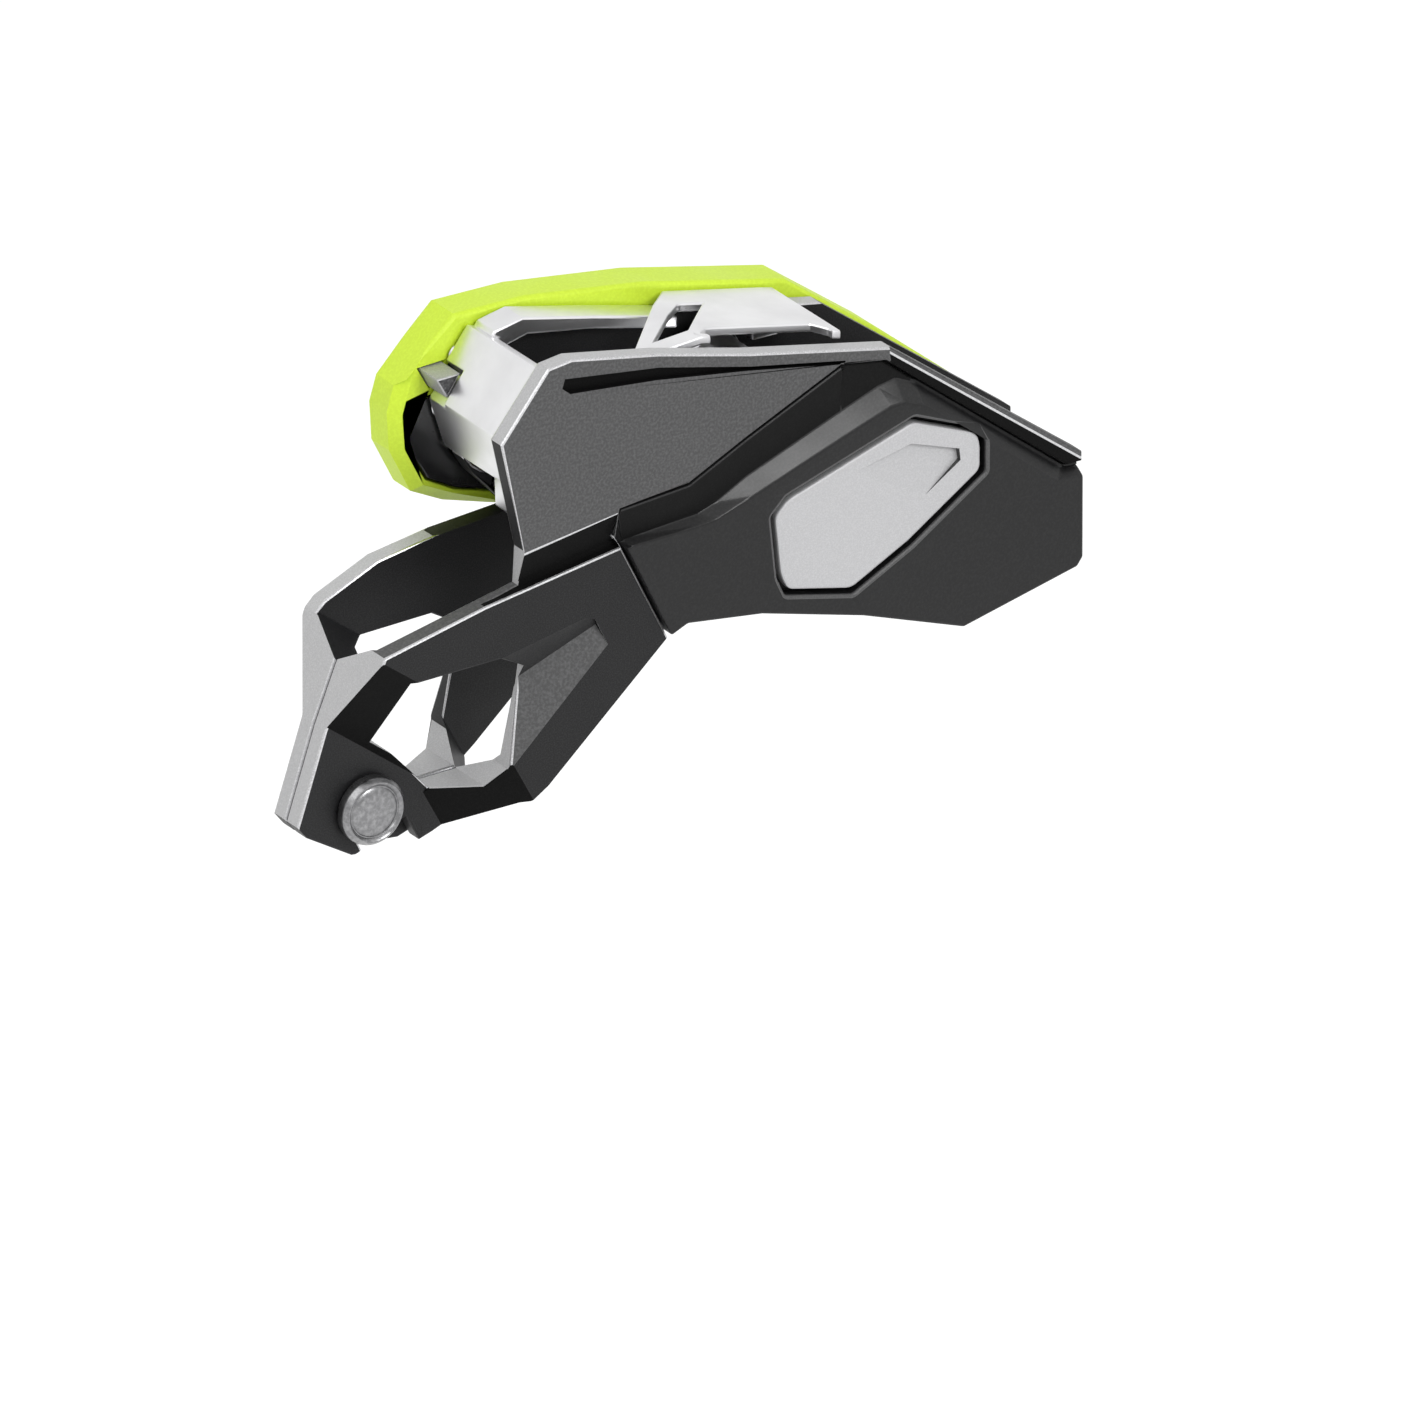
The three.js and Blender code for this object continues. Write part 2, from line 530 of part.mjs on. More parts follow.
// The front gate: the front plate with its arm, and the cover that it carries
function addGate() {
  const gate = new THREE.Group();
  group.add(gate);

  let plate = plateWithArm(-1).subtract(pinSlot());
  plate = plate.subtract(slab(outline(seatShares), -seatLevel, -plateFace - overrun));
  plate = plate.subtract(slab(outline(rimGrooveShares), rimGrooveDepth - plateFace, -plateFace - overrun));
  plate = plate.subtract(tapered(outline(bandGrooveFloorShares), outline(bandGrooveFaceShares),
    bandGrooveDepth - plateFace, -plateFace - clearance / 3));
  const bushOuter = axleRadius + clearance + bushWall;
  plate = plate.subtract(bar(mainAxle, bushOuter + clearance, 0, -plateFace));
  for (const centre of screwCentres) {
    const headRoom = -channelHalf - screwHeadHeight;
    plate = plate.subtract(bar(centre, screwShankRadius + clearance, 0, -plateFace, smallSides));
    plate = plate.subtract(bar(centre, screwHeadRadius + clearance, 0, headRoom, smallSides));
  }
  addPiece(gate, 'front_plate', plate, anodised);
  addPiece(gate, 'gate_bushing', ring(mainAxle, bushOuter, axleRadius + clearance,
    -channelHalf, -seatLevel), bronze);

  // The cover fills its seat in the plate: an edge band falls into a valley, and the face rises from it.
  const seat = grown(outline(seatShares), -clearance);
  const edge = slab(grown(outline(plateShares), -clearance), -coverBack, -coverFace);
  let cover = slab(seat, -coverBack, -valleyLevel);
  cover = cover.add(tapered(outline(bandFootShares), outline(bandCrestShares), -valleyLevel, -bandLevel));
  cover = cover.add(tapered(outline(faceFootShares), outline(faceCrestShares), -valleyLevel, -coverFace));
  cover = cover.intersect(slab(seat, -coverBack, -coverFace)).intersect(edge);
  cover = cover.subtract(slab(grown(outline(inlayShares), inlayGap), 0, -coverFace - overrun));
  const shankRoom = screwShankRadius + clearance / 3;
  for (const centre of screwCentres) {
    cover = cover.subtract(bar(centre, shankRoom, 0, -coverFace + overrun, smallSides));
  }
  addPiece(gate, 'front_cover', cover, moulded);

  let inlay = slab(outline(inlayShares), -coverBack, -inlayFace);
  inlay = inlay.subtract(bar(mainAxle, clipRadius + clearance, 0, inlayFloor - inlayFace));
  addPiece(gate, 'front_inlay', inlay, satinInlay);

  screwCentres.forEach((centre, index) => {
    addPiece(gate, `cover_screw_${index + 1}`, turned([
      [0, overrun - coverFace + clearance], [screwShankRadius, overrun - coverFace + clearance],
      [screwShankRadius, -channelHalf - screwHeadHeight + clearance],
      [screwHeadRadius, -channelHalf - screwHeadHeight + clearance],
      [screwHeadRadius, -channelHalf], [0, -channelHalf],
    ], smallSides), springSteel, centre);
  });
}

// The cam, which hangs from its axle and swings towards the anvil when the rope pulls it
function addCam() {
  const cam = new THREE.Group();
  group.add(cam);

  const points = new THREE.SplineCurve([...outline(camShares), place(camShares[0])]).getPoints(45);
  points.pop();
  const inner = grown(points, -camGrooveDepth);
  const half = channelHalf - axleFlangeThickness - 2 * clearance;
  const land = half - camLandWidth;
  const waist = land / 3;
  let body = slab(inner, -half, half);
  for (const side of [-1, 1]) {
    body = body.add(slab(points, side * land, side * half));
    body = body.add(tapered(inner, points, side * waist, side * land));
  }
  const bushOuter = camAxleRadius + clearance + bushWall;
  const pocketRadius = bushOuter + camSpringWall + 2 * clearance;
  body = body.add(bar(camAxle, pocketRadius + camBossWall, -half, half));
  body = body.subtract(bar(camAxle, bushOuter + clearance, -half - overrun, half + overrun));
  body = body.subtract(bar(camAxle, pocketRadius, half - springPocketDepth, half + overrun));
  addPiece(cam, 'cam', body, polished);
  addPiece(cam, 'cam_bushing', ring(camAxle, bushOuter, camAxleRadius + clearance, -half, half), bronze);
  addPiece(cam, 'cam_spring', ring(camAxle, pocketRadius - clearance, bushOuter + clearance,
    half - springPocketDepth + clearance, half), springSteel);
}

// The handle: a grip shell over a core, turning on a shaft through the back plate
function addHandle() {
  const handle = new THREE.Group();
  group.add(handle);

  const hollow = outline(handleHollowShares);
  let grip = slab(outline(handleShares), handleFront, handleBack);
  grip = grip.subtract(slab(hollow, handleFront - overrun, handleBack - handleSkin));
  const lugPoints = outline(lugShares);
  const lugSeat = slab(grown(lugPoints, clearance), 0, hubBack + clearance);
  grip = grip.subtract(lugSeat);
  addPiece(handle, 'handle_grip', grip, limePlastic);

  const bore = bar(handlePivot, shaftRadius + clearance, 0, handleBack);
  const pocketRadius = shaftRadius + handleSpringWall + 2 * clearance;
  let core = bar(handlePivot, hubRadius, handleFront, hubBack, hubSides);
  core = core.add(slab(outline(coreBeamShares), handleFront + clearance, hubBack));
  core = core.intersect(slab(grown(hollow, -clearance), handleFront, hubBack));
  core = core.subtract(bore).subtract(bar(handlePivot, pocketRadius, 0, handleFront + hubHeight / 2));
  core = core.subtract(lugSeat);
  addPiece(handle, 'handle_core', core, softBlack);
  addPiece(handle, 'handle_spring', ring(handlePivot, pocketRadius - clearance, shaftRadius + clearance,
    handleFront, handleFront + hubHeight / 2 - clearance), springSteel);

  const flangeBack = channelHalf - clearance;
  addPiece(handle, 'handle_shaft', turned([
    [0, flangeBack - shaftFlangeThickness], [shaftFlangeRadius, flangeBack - shaftFlangeThickness],
    [shaftFlangeRadius, flangeBack], [shaftRadius, flangeBack], [shaftRadius, hubBack], [0, hubBack],
  ]), polished, handlePivot);

  // The three-sided stop lug stands forward from the grip, into the end wall's groove.
  addPiece(handle, 'stop_lug', slab(lugPoints, handleFront - lugLength, hubBack), polished);
}

addFrame();
addGate();
addCam();
addHandle();

export default group;
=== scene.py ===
from math import cos, degrees, radians, sin

import bmesh
import bpy
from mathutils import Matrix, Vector
from mathutils.geometry import intersect_point_line


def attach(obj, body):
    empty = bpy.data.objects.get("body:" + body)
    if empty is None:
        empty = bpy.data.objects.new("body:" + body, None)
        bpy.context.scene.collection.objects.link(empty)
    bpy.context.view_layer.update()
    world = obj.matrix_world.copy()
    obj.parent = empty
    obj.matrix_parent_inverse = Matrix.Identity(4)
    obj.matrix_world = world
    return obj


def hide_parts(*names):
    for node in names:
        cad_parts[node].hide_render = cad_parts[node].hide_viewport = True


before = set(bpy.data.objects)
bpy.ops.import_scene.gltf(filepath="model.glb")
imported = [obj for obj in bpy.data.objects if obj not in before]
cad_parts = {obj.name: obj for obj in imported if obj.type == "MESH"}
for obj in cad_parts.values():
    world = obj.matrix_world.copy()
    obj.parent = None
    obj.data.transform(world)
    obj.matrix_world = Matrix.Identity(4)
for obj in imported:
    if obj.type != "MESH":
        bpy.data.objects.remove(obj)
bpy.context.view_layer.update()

# The studio: a pale floor under the hanging device, a white room round it, and four soft lamps, two of
# which the shiny pieces mirror. The camera looks down on the gate side from the left, through a long lens.
AZIMUTH = radians(32.5)
ELEVATION = radians(24.4)
PHOTO_WIDTH = 1420
PIXELS_PER_METRE = 7600
VIEW_WIDTH = PHOTO_WIDTH / PIXELS_PER_METRE
VIEW_CENTRE = Vector((0.0552, 0, -0.0007))
LENS = 1000
SENSOR = 36
FAR_LIMIT = 20
WHITE = (1, 1, 1, 1)
ROOM_LIGHT = 0.4
FLOOR_LEVEL = -0.16
FLOOR_RADIUS = 6
FLOOR_SIDES = 64
FLOOR_GREY = 0.9
FLOOR_ROUGHNESS = 0.9
FLOOR_GLOW = 0.3

# A lamp's name, place, size and power, and whether the shiny pieces mirror it.
LAMPS = (
    ("key_lamp", (0.15, -1.0, 0.78), 0.5, 8.0, True),
    ("rim_lamp", (-0.7, -0.3, 0.9), 0.8, 4.0, True),
    ("left_lamp", (-1.0, 0.7, 0.1), 1.8, 6.0, False),
    ("top_lamp", (0.5, 0.9, 0.8), 2.0, 5.0, False))

scene = bpy.context.scene
scene.view_settings.view_transform = "Standard"
camera_data = bpy.data.cameras.new("studio_camera")
camera_data.lens = LENS
camera_data.sensor_width = SENSOR
camera_data.clip_end = FAR_LIMIT
camera = bpy.data.objects.new("studio_camera", camera_data)
sight = Vector((sin(AZIMUTH) * cos(ELEVATION), cos(AZIMUTH) * cos(ELEVATION), -sin(ELEVATION)))
camera.location = VIEW_CENTRE - sight * (VIEW_WIDTH * LENS / SENSOR)
camera.rotation_euler = sight.to_track_quat("-Z", "Y").to_euler()
scene.collection.objects.link(camera)
scene.camera = camera


def shader(name):
    """A new material, with its nodes and its links."""
    material = bpy.data.materials.new(name)
    material.use_nodes = True
    return material, material.node_tree.nodes, material.node_tree.links


def seen_white(nodes, links, dim, bright):
    """Strength that is bright for what the camera and shiny surfaces see, and dim as a light."""
    path = nodes.new("ShaderNodeLightPath")
    shiny = nodes.new("ShaderNodeMath")
    shiny.operation = "MAXIMUM"
    links.new(path.outputs["Is Camera Ray"], shiny.inputs[0])
    links.new(path.outputs["Is Glossy Ray"], shiny.inputs[1])
    either = nodes.new("ShaderNodeMath")
    either.operation = "MAXIMUM"
    links.new(shiny.outputs[0], either.inputs[0])
    links.new(path.outputs["Is Transmission Ray"], either.inputs[1])
    strength = nodes.new("ShaderNodeMapRange")
    strength.inputs["To Min"].default_value = dim
    strength.inputs["To Max"].default_value = bright
    links.new(either.outputs[0], strength.inputs["Value"])
    return strength.outputs["Result"]


world = bpy.data.worlds.new("studio_room")
world.use_nodes = True
scene.world = world
nodes, links = world.node_tree.nodes, world.node_tree.links
nodes["Background"].inputs["Color"].default_value = WHITE
links.new(seen_white(nodes, links, ROOM_LIGHT, 1), nodes["Background"].inputs["Strength"])

floor_mesh = bpy.data.meshes.new("studio_floor")
bm = bmesh.new()
bmesh.ops.create_circle(bm, cap_ends=True, segments=FLOOR_SIDES, radius=FLOOR_RADIUS)
bmesh.ops.translate(bm, verts=bm.verts, vec=(0, 0, FLOOR_LEVEL))
bm.to_mesh(floor_mesh)
bm.free()
floor = bpy.data.objects.new("studio_floor", floor_mesh)
scene.collection.objects.link(floor)
floor_paint, nodes, links = shader("pale_floor")
paint = nodes["Principled BSDF"].inputs
paint["Base Color"].default_value = (FLOOR_GREY, FLOOR_GREY, FLOOR_GREY, 1)
paint["Roughness"].default_value = FLOOR_ROUGHNESS
paint["Specular IOR Level"].default_value = 0
paint["Emission Color"].default_value = WHITE
links.new(seen_white(nodes, links, 0, FLOOR_GLOW), paint["Emission Strength"])
floor_mesh.materials.append(floor_paint)

for name, place, size, power, mirrored in LAMPS:
    lamp_data = bpy.data.lights.new(name, "AREA")
    lamp_data.size = size
    lamp_data.energy = power
    lamp = bpy.data.objects.new(name, lamp_data)
    lamp.location = place
    lamp.rotation_euler = (VIEW_CENTRE - Vector(place)).to_track_quat("-Z", "Y").to_euler()
    lamp.visible_glossy = mirrored
    scene.collection.objects.link(lamp)

# The two side plates: forged aluminium, blasted and then anodised dark grey. The back one is fixed, the
# front one turns on the main axle, and each carries one arm of the attachment eye. The mill chamfers their
# rims and grooves after the anodising, down to bare metal. The bright chamfer skin is a painted highlight,
# put only on the upper and left edges, where light catches them. The rims facing up or left are painted
# pale, as lit, and the grooves, shallow steps and bent shoulders are painted near black, as shade.
PLATE_CHAMFER = 0.0003
FOLD_WIDTH = 0.00018
BEVEL_STEPS = 2
FLAT_BEVEL = 1
OWN_SKIN = -1

GRAIN_SCALE = 5000
PANEL_GRAIN = 2600
PATCH_SCALE = 160
FINE_DETAIL = 3
PATCH_DETAIL = 4
NOISE_ROUGHNESS = 0.55
FLECKS = (0.42, 0.68)
PATCHES = (0.3, 0.7)


def group_tree(name, colours, numbers):
    """A shader node group that turns colours and numbers into a surface's colour, roughness and height,
    with its two end nodes."""
    tree = bpy.data.node_groups.new(name, "ShaderNodeTree")
    for label in colours:
        tree.interface.new_socket(label, in_out="INPUT", socket_type="NodeSocketColor")
    for label in numbers:
        tree.interface.new_socket(label, in_out="INPUT", socket_type="NodeSocketFloat")
    tree.interface.new_socket("Color", in_out="OUTPUT", socket_type="NodeSocketColor")
    for label in ("Roughness", "Height"):
        tree.interface.new_socket(label, in_out="OUTPUT", socket_type="NodeSocketFloat")
    return tree, tree.nodes.new("NodeGroupInput"), tree.nodes.new("NodeGroupOutput")


def feed(tree, socket, value):
    """Gives a socket a plain value, or links it where the value is itself a socket."""
    if hasattr(value, "is_linked"):
        tree.links.new(value, socket)
    else:
        socket.default_value = value


def noise(tree, scale, detail, stretch=(1, 1, 1)):
    """A noise texture on the piece's own place in space, stretched along the axes."""
    where = tree.nodes.new("ShaderNodeTexCoord")
    turn = tree.nodes.new("ShaderNodeMapping")
    turn.inputs["Scale"].default_value = stretch
    texture = tree.nodes.new("ShaderNodeTexNoise")
    feed(tree, texture.inputs["Scale"], scale)
    texture.inputs["Detail"].default_value = detail
    texture.inputs["Roughness"].default_value = NOISE_ROUGHNESS
    tree.links.new(where.outputs["Object"], turn.inputs["Vector"])
    tree.links.new(turn.outputs["Vector"], texture.inputs["Vector"])
    return texture.outputs["Fac"]


def spread(tree, value, span, low, high):
    """A value stretched from one span to another, held at its ends."""
    node = tree.nodes.new("ShaderNodeMapRange")
    tree.links.new(value, node.inputs["Value"])
    for label, limit in (("From Min", span[0]), ("From Max", span[1]), ("To Min", low), ("To Max", high)):
        feed(tree, node.inputs[label], limit)
    return node.outputs["Result"]


def blended(tree, mask, first, second):
    """One colour turned into another where a mask says so."""
    node = tree.nodes.new("ShaderNodeMix")
    node.data_type = "RGBA"
    tree.links.new(mask, node.inputs["Factor"])
    tree.links.new(first, node.inputs["A"])
    tree.links.new(second, node.inputs["B"])
    return node.outputs["Result"]


grain, grain_in, grain_out = group_tree("blasted_grain", ("Base", "Fleck"), ("Low", "High", "Grain"))
fine_grain = noise(grain, grain_in.outputs["Grain"], FINE_DETAIL)
patches = noise(grain, PATCH_SCALE, PATCH_DETAIL)
fleck_mask = spread(grain, fine_grain, FLECKS, 0, 1)
grain.links.new(blended(grain, fleck_mask, grain_in.outputs["Base"], grain_in.outputs["Fleck"]),
                grain_out.inputs["Color"])
grain.links.new(spread(grain, patches, PATCHES, grain_in.outputs["Low"], grain_in.outputs["High"]),
                grain_out.inputs["Roughness"])
grain.links.new(fine_grain, grain_out.inputs["Height"])


def surface(name, texture_tree, values, metallic, bump, depth):
    """A material whose colour, roughness and relief come from a node group with the given values."""
    material, nodes, links = shader(name)
    skin = nodes["Principled BSDF"]
    skin.inputs["Metallic"].default_value = metallic
    texture = nodes.new("ShaderNodeGroup")
    texture.node_tree = texture_tree
    for label, value in values.items():
        texture.inputs[label].default_value = value
    links.new(texture.outputs["Color"], skin.inputs["Base Color"])
    links.new(texture.outputs["Roughness"], skin.inputs["Roughness"])
    relief = nodes.new("ShaderNodeBump")
    relief.inputs["Strength"].default_value = bump
    relief.inputs["Distance"].default_value = depth
    links.new(texture.outputs["Height"], relief.inputs["Height"])
    links.new(relief.outputs["Normal"], skin.inputs["Normal"])
    return material


def grained(name, base, fleck, rough, shine, bump, depth, metallic=0, scale=GRAIN_SCALE):
    """A material with the blasted grain, in two tones and between two degrees of roughness."""
    values = {"Base": (*base, 1), "Fleck": (*fleck, 1), "Low": rough[0], "High": rough[1], "Grain": scale}
    material = surface(name, grain, values, metallic, bump, depth)
    material.node_tree.nodes["Principled BSDF"].inputs["Specular IOR Level"].default_value = shine
    return material


plate_skin = grained("anodised_plate", (0.007, 0.007, 0.0075), (0.02, 0.02, 0.021), rough=(0.42, 0.54),
                     shine=0.25, bump=0.35, depth=0.00004)
# Bare metal where milled, but put only where light catches it: a painted highlight.
chamfer_highlight = grained("milled_chamfer_highlight", (0.5, 0.5, 0.51), (0.72, 0.72, 0.73), rough=(0.25, 0.4),
                     shine=0.5, bump=0.2, depth=0.00003, metallic=1)
panel_skin = grained("blasted_panel", (0.07, 0.07, 0.071), (0.112, 0.112, 0.114), rough=(0.46, 0.6),
                     shine=0.3, bump=0.3, depth=0.00005, scale=PANEL_GRAIN)
# Near black: painted shade in the grooves, on shallow step walls, on bent shoulders and in the rim strip's
# black line.
groove_shade_skin = grained("groove_painted_shade", (0.004, 0.004, 0.004), (0.008, 0.008, 0.008), rough=(0.5, 0.6),
                      shine=0.05, bump=0.2, depth=0.00003)
# Pale grey: painted light on the rims that face up or left.
lit_rim_skin = grained("plate_rim_painted_light", (0.44, 0.44, 0.445), (0.54, 0.54, 0.545), rough=(0.42, 0.52),
                   shine=0.35, bump=0.2, depth=0.00003, metallic=0.15)
plate_skins = (plate_skin, chamfer_highlight, panel_skin, groove_shade_skin, lit_rim_skin)
SMOOTH, BRIGHT, BLASTED, PAINTED_SHADE, LIT_RIM = range(len(plate_skins))

SAME_PLACE = 0.000002
SLIVER = 0.00013
FLAT_BEND = 0.6
SPIKE_REACH = 2.5
STRIP_WIDTH = 0.0004
FACING = 0.8
FOLD_BEND = 1.5
SMOOTH_BEND = 22
SHARP_BEND = 25
FOUR_SIDED = 4
LARGE_FACES_FIRST = 100


def every_edge(edges, width):
    """All sharp edges in one row for a bevel: its width, its steps, its skin and its edges."""
    return [(width, BEVEL_STEPS, OWN_SKIN, edges)]


def merge_flats(bm):
    """Joins the triangles of each flat face into one."""
    bmesh.ops.dissolve_limit(bm, angle_limit=radians(FLAT_BEND), verts=bm.verts, edges=bm.edges,
                             delimit={"NORMAL", "MATERIAL"})


def broad(face):
    """Whether a face is one of the piece's own and not a strip of a bevel."""
    return face.calc_area() > STRIP_WIDTH * max(e.calc_length() for e in face.edges)


def draw_in(verts, spans, reach):
    """Draws the spikes of a bevel, which grow where edges meet sharply, back to the nearest edge."""
    for vert in verts:
        feet = []
        for start, end in spans:
            foot, share = intersect_point_line(vert.co, start, end)
            feet.append(start if share < 0 else end if share > 1 else foot)
        near = min(feet, key=lambda p: (vert.co - p).length)
        if (vert.co - near).length > reach:
            vert.co = near + (vert.co - near).normalized() * reach


def finished(name, slot_name, body, edge_width, *skins, corner=SHARP_BEND, zone=None, pick=every_edge,
             carve=None):
    """A merged copy of a CAD piece, bevelled where it bends by more than the corner's degrees, which then
    stands for it. Zone picks a face's skin, pick sorts the sharp edges, and carve adds detail first."""
    bm = bmesh.new()
    bm.from_mesh(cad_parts[name].data)
    lows = [min(v.co[axis] for v in bm.verts) for axis in range(3)]
    highs = [max(v.co[axis] for v in bm.verts) for axis in range(3)]
    for face in bm.faces:
        face.material_index = 0
    bmesh.ops.remove_doubles(bm, verts=bm.verts, dist=SAME_PLACE)
    merge_flats(bm)
    if carve:
        carve(bm)
        merge_flats(bm)
    bmesh.ops.remove_doubles(bm, verts=bm.verts, dist=SLIVER)
    if zone:
        for face in bm.faces:
            face.material_index = face.material_index or zone(face)
    sharp = [e for e in bm.edges if e.is_manifold and degrees(e.calc_face_angle(0)) > corner]
    for width, steps, skin, chosen in pick(sharp, edge_width):
        chosen = [e for e in chosen if e.is_valid]
        spans = [tuple(v.co.copy() for v in e.verts) for e in chosen]
        rounded = bmesh.ops.bevel(bm, geom=chosen, offset=width, offset_type="OFFSET", segments=steps,
                                  profile=0.5, affect="EDGES", clamp_overlap=False, material=skin)
        draw_in(rounded["verts"], spans, SPIKE_REACH * width)
    for vert in bm.verts:
        vert.co = [min(max(c, low), high) for c, low, high in zip(vert.co, lows, highs)]
    bmesh.ops.triangulate(bm, faces=[f for f in bm.faces if len(f.verts) > FOUR_SIDED])
    for face in bm.faces:
        face.smooth = True
    for edge in bm.edges:
        bend = degrees(edge.calc_face_angle(0))
        fold = bend > FOLD_BEND and all(abs(f.normal.y) > FACING and broad(f) for f in edge.link_faces)
        edge.smooth = bend < SMOOTH_BEND and not fold
    mesh = bpy.data.meshes.new(name + "_finished")
    bm.to_mesh(mesh)
    bm.free()
    for skin in skins:
        mesh.materials.append(skin)
    piece = bpy.data.objects.new(name + "_finished", mesh)
    scene.collection.objects.link(piece)
    flats = piece.modifiers.new("flats", "WEIGHTED_NORMAL")
    flats.weight = LARGE_FACES_FIRST
    flats.keep_sharp = True
    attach(piece, body)
    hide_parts(name)


# Shares of a normal that say which way a face looks.
STRAIGHT = 0.9
FLAT = 0.995
SLANTED = 0.5
WALL_TILT = 0.3
RISING = 0.12
HANGING = 0.05
RIM_SLANT = 0.4
SHOULDER_TILT = (0.7, 0.9)

# Levels are distances from the middle of the device, and a box gives its limits along X and along Z.
FACE_LEVEL = 0.00995
PANEL_LEVEL = 0.0099
GROOVE_LEVEL = 0.0087
WEB_LEVEL = 0.0085
SEAM_LEVEL = 0.0031
PANEL_FOOT = Vector((0.012, 0, 0.0329))
PANEL_LINE = Vector((0.0226, 0, 0.0039)).normalized()
PANEL_BOTTOM = 0.03
WEB_END = 0.035
ARM_TOP = 0.0272
LIMB_ROOT = ((0.017, 0.03), (-1, 0.034))
MOUTH = ((0.003, 0.0125), (-0.008, 0.0004))
ARM_BACK = ((-0.002, 0.03), (0.023, 0.031))
THIN_WALL = 0.0008
SHALLOW = 0.0013
GROOVE_DEPTH = 0.0016
GROOVE_TOP = 0.047
RIM_BEND = 0.0768
RIM_CORNER = Vector((0.077, 0, 0.05))
RIM_OUT = Vector((0.593, 0, 0.805))
STRIP_LINES = (0.0005, 0.0008)
PLATE_CORNER = 8


def inside(point, box):
    """Whether a point lies in a box of X and Z, at any level."""
    return all(low < value < high for value, (low, high) in zip((point.x, point.z), box))


def span_of(face):
    """How far a face reaches along Y, which is the depth of a wall."""
    levels = [v.co.y for v in face.verts]
    return max(levels) - min(levels)


def middle_of(edge):
    """The point halfway along an edge."""
    return (edge.verts[0].co + edge.verts[1].co) / 2


def cut_along(bm, point, normal):
    """Cuts every face along a plane."""
    bmesh.ops.bisect_plane(bm, geom=bm.verts[:] + bm.edges[:] + bm.faces[:], plane_co=point,
                           plane_no=normal)


def rim_strip(bm):
    """Right of the rim's bend, the strip of face beside the cover is grey, then a bright line that is a
    painted highlight, then a black line that is painted shade under the step.
    """
    cut_along(bm, (RIM_BEND, 0, 0), (1, 0, 0))
    strip = [f for f in bm.faces if f.normal.y < -STRAIGHT and f.calc_center_median().y < -FACE_LEVEL
             and f.calc_center_median().x > RIM_BEND]
    for distance in STRIP_LINES:
        geometry = list({part for f in strip for part in (f, *f.edges, *f.verts)})
        cut = bmesh.ops.bisect_plane(bm, geom=geometry, plane_co=RIM_CORNER - RIM_OUT * distance,
                                     plane_no=RIM_OUT)["geom"]
        strip = [f for f in cut if isinstance(f, bmesh.types.BMFace)]
    for face in strip:
        inset = (RIM_CORNER - face.calc_center_median()).dot(RIM_OUT)
        lines_passed = sum(inset >= distance for distance in STRIP_LINES)
        face.material_index = (BLASTED, BRIGHT, PAINTED_SHADE)[lines_passed]


def plate_zone(face):
    """Skins by place: the blasted panel and webs; near-black painted shade in the grooves, on shallow step
    walls and on the bent shoulders; rims painted pale where they face up or left, as lit, save the right
    rims, which keep the blasted grey, and the back arm's top, kept darker as shade under the grip; and the
    smooth rest.
    """
    middle, normal = face.calc_center_median(), face.normal
    if abs(normal.y) < WALL_TILT:
        # Shallow step walls get the near-black skin: painted shade.
        if span_of(face) < SHALLOW:
            return PAINTED_SHADE
        if inside(middle, MOUTH) or (middle.y > 0 and inside(middle, LIMB_ROOT)):
            return SMOOTH
        # The right rims keep the blasted grey, and the back arm's top is kept darker: painted shade under
        # the grip.
        right_rim = normal.x > RIM_SLANT and middle.x > RIM_BEND
        arm_back = middle.y < 0 and normal.z > STRAIGHT and inside(middle, ARM_BACK)
        if right_rim or arm_back:
            return BLASTED
        # Rims facing up or left are painted pale, as lit: painted light.
        left_rim = normal.x < -SLANTED and normal.z > -HANGING
        return LIT_RIM if normal.z > RISING or left_rim else SMOOTH
    outward = normal.y * middle.y > 0 and abs(middle.y) > SEAM_LEVEL
    shoulder = outward and SHOULDER_TILT[0] < abs(normal.y) < SHOULDER_TILT[1]
    groove = -FACE_LEVEL < middle.y < -GROOVE_LEVEL and middle.z > ARM_TOP
    # The bent shoulders and the groove's floor get the near-black skin: painted shade.
    if shoulder or groove:
        return PAINTED_SHADE
    above_fold = (middle - PANEL_FOOT).cross(PANEL_LINE).y > 0
    panel = -normal.y > FLAT and middle.y < -PANEL_LEVEL and above_fold
    web = abs(normal.y) < FLAT and abs(middle.y) > WEB_LEVEL and middle.x < WEB_END and normal.z > 0
    return BLASTED if panel or web else SMOOTH


